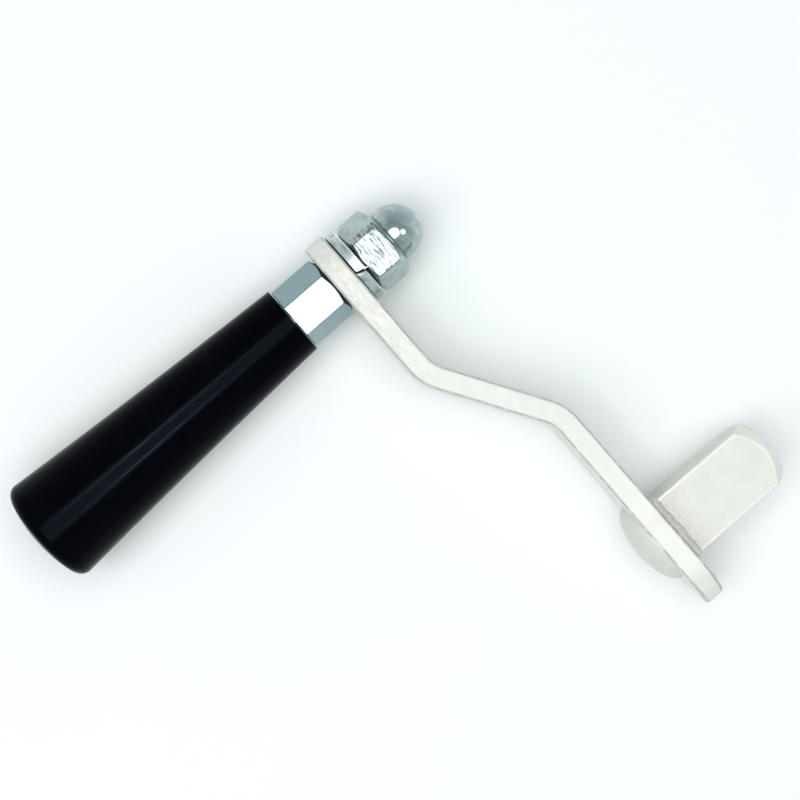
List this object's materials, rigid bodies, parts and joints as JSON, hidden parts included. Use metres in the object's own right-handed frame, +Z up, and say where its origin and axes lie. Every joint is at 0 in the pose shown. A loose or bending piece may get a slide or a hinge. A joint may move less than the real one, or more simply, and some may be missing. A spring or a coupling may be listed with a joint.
{
  "type": "window operator crank handle",
  "caption": "Removable crank handle for a window operator: joggled flat-bar arm with a square drive shank at one end and a free-turning tapered grip at the other.",
  "frame": {"origin": "on the drive shank's axis, at the arm face that the shank stands on", "axes": "+Y along the drive shank to its free end, -X towards the grip's axis, +Z up when the crank lies flat on its side"},
  "size_m": [0.1146, 0.1285, 0.024],
  "materials": {
    "ivory_paint": "satin paint with small runs and specks",
    "zinc_plate": "bright zinc plate, lightly scuffed",
    "spring_steel": "oiled spring steel",
    "black_phenolic": "polished moulded black"
  },
  "bodies": {
    "crank": {"arm": "ivory_paint", "drive_shank": "ivory_paint", "shank_weld": "ivory_paint", "handle_bolt": "zinc_plate", "lock_washer": "zinc_plate", "cap_nut": "zinc_plate", "thrust_washer": "zinc_plate", "retaining_ring": "spring_steel"},
    "grip": {"grip_body": "black_phenolic", "grip_end_plug": "black_phenolic"}
  },
  "joints": [
    {"name": "grip_spin", "type": "hinge", "parent": "crank", "child": "grip", "pos_m": [-0.0853, -0.06, 0], "axis": [0, 1, 0], "continuous": true}
  ]
}
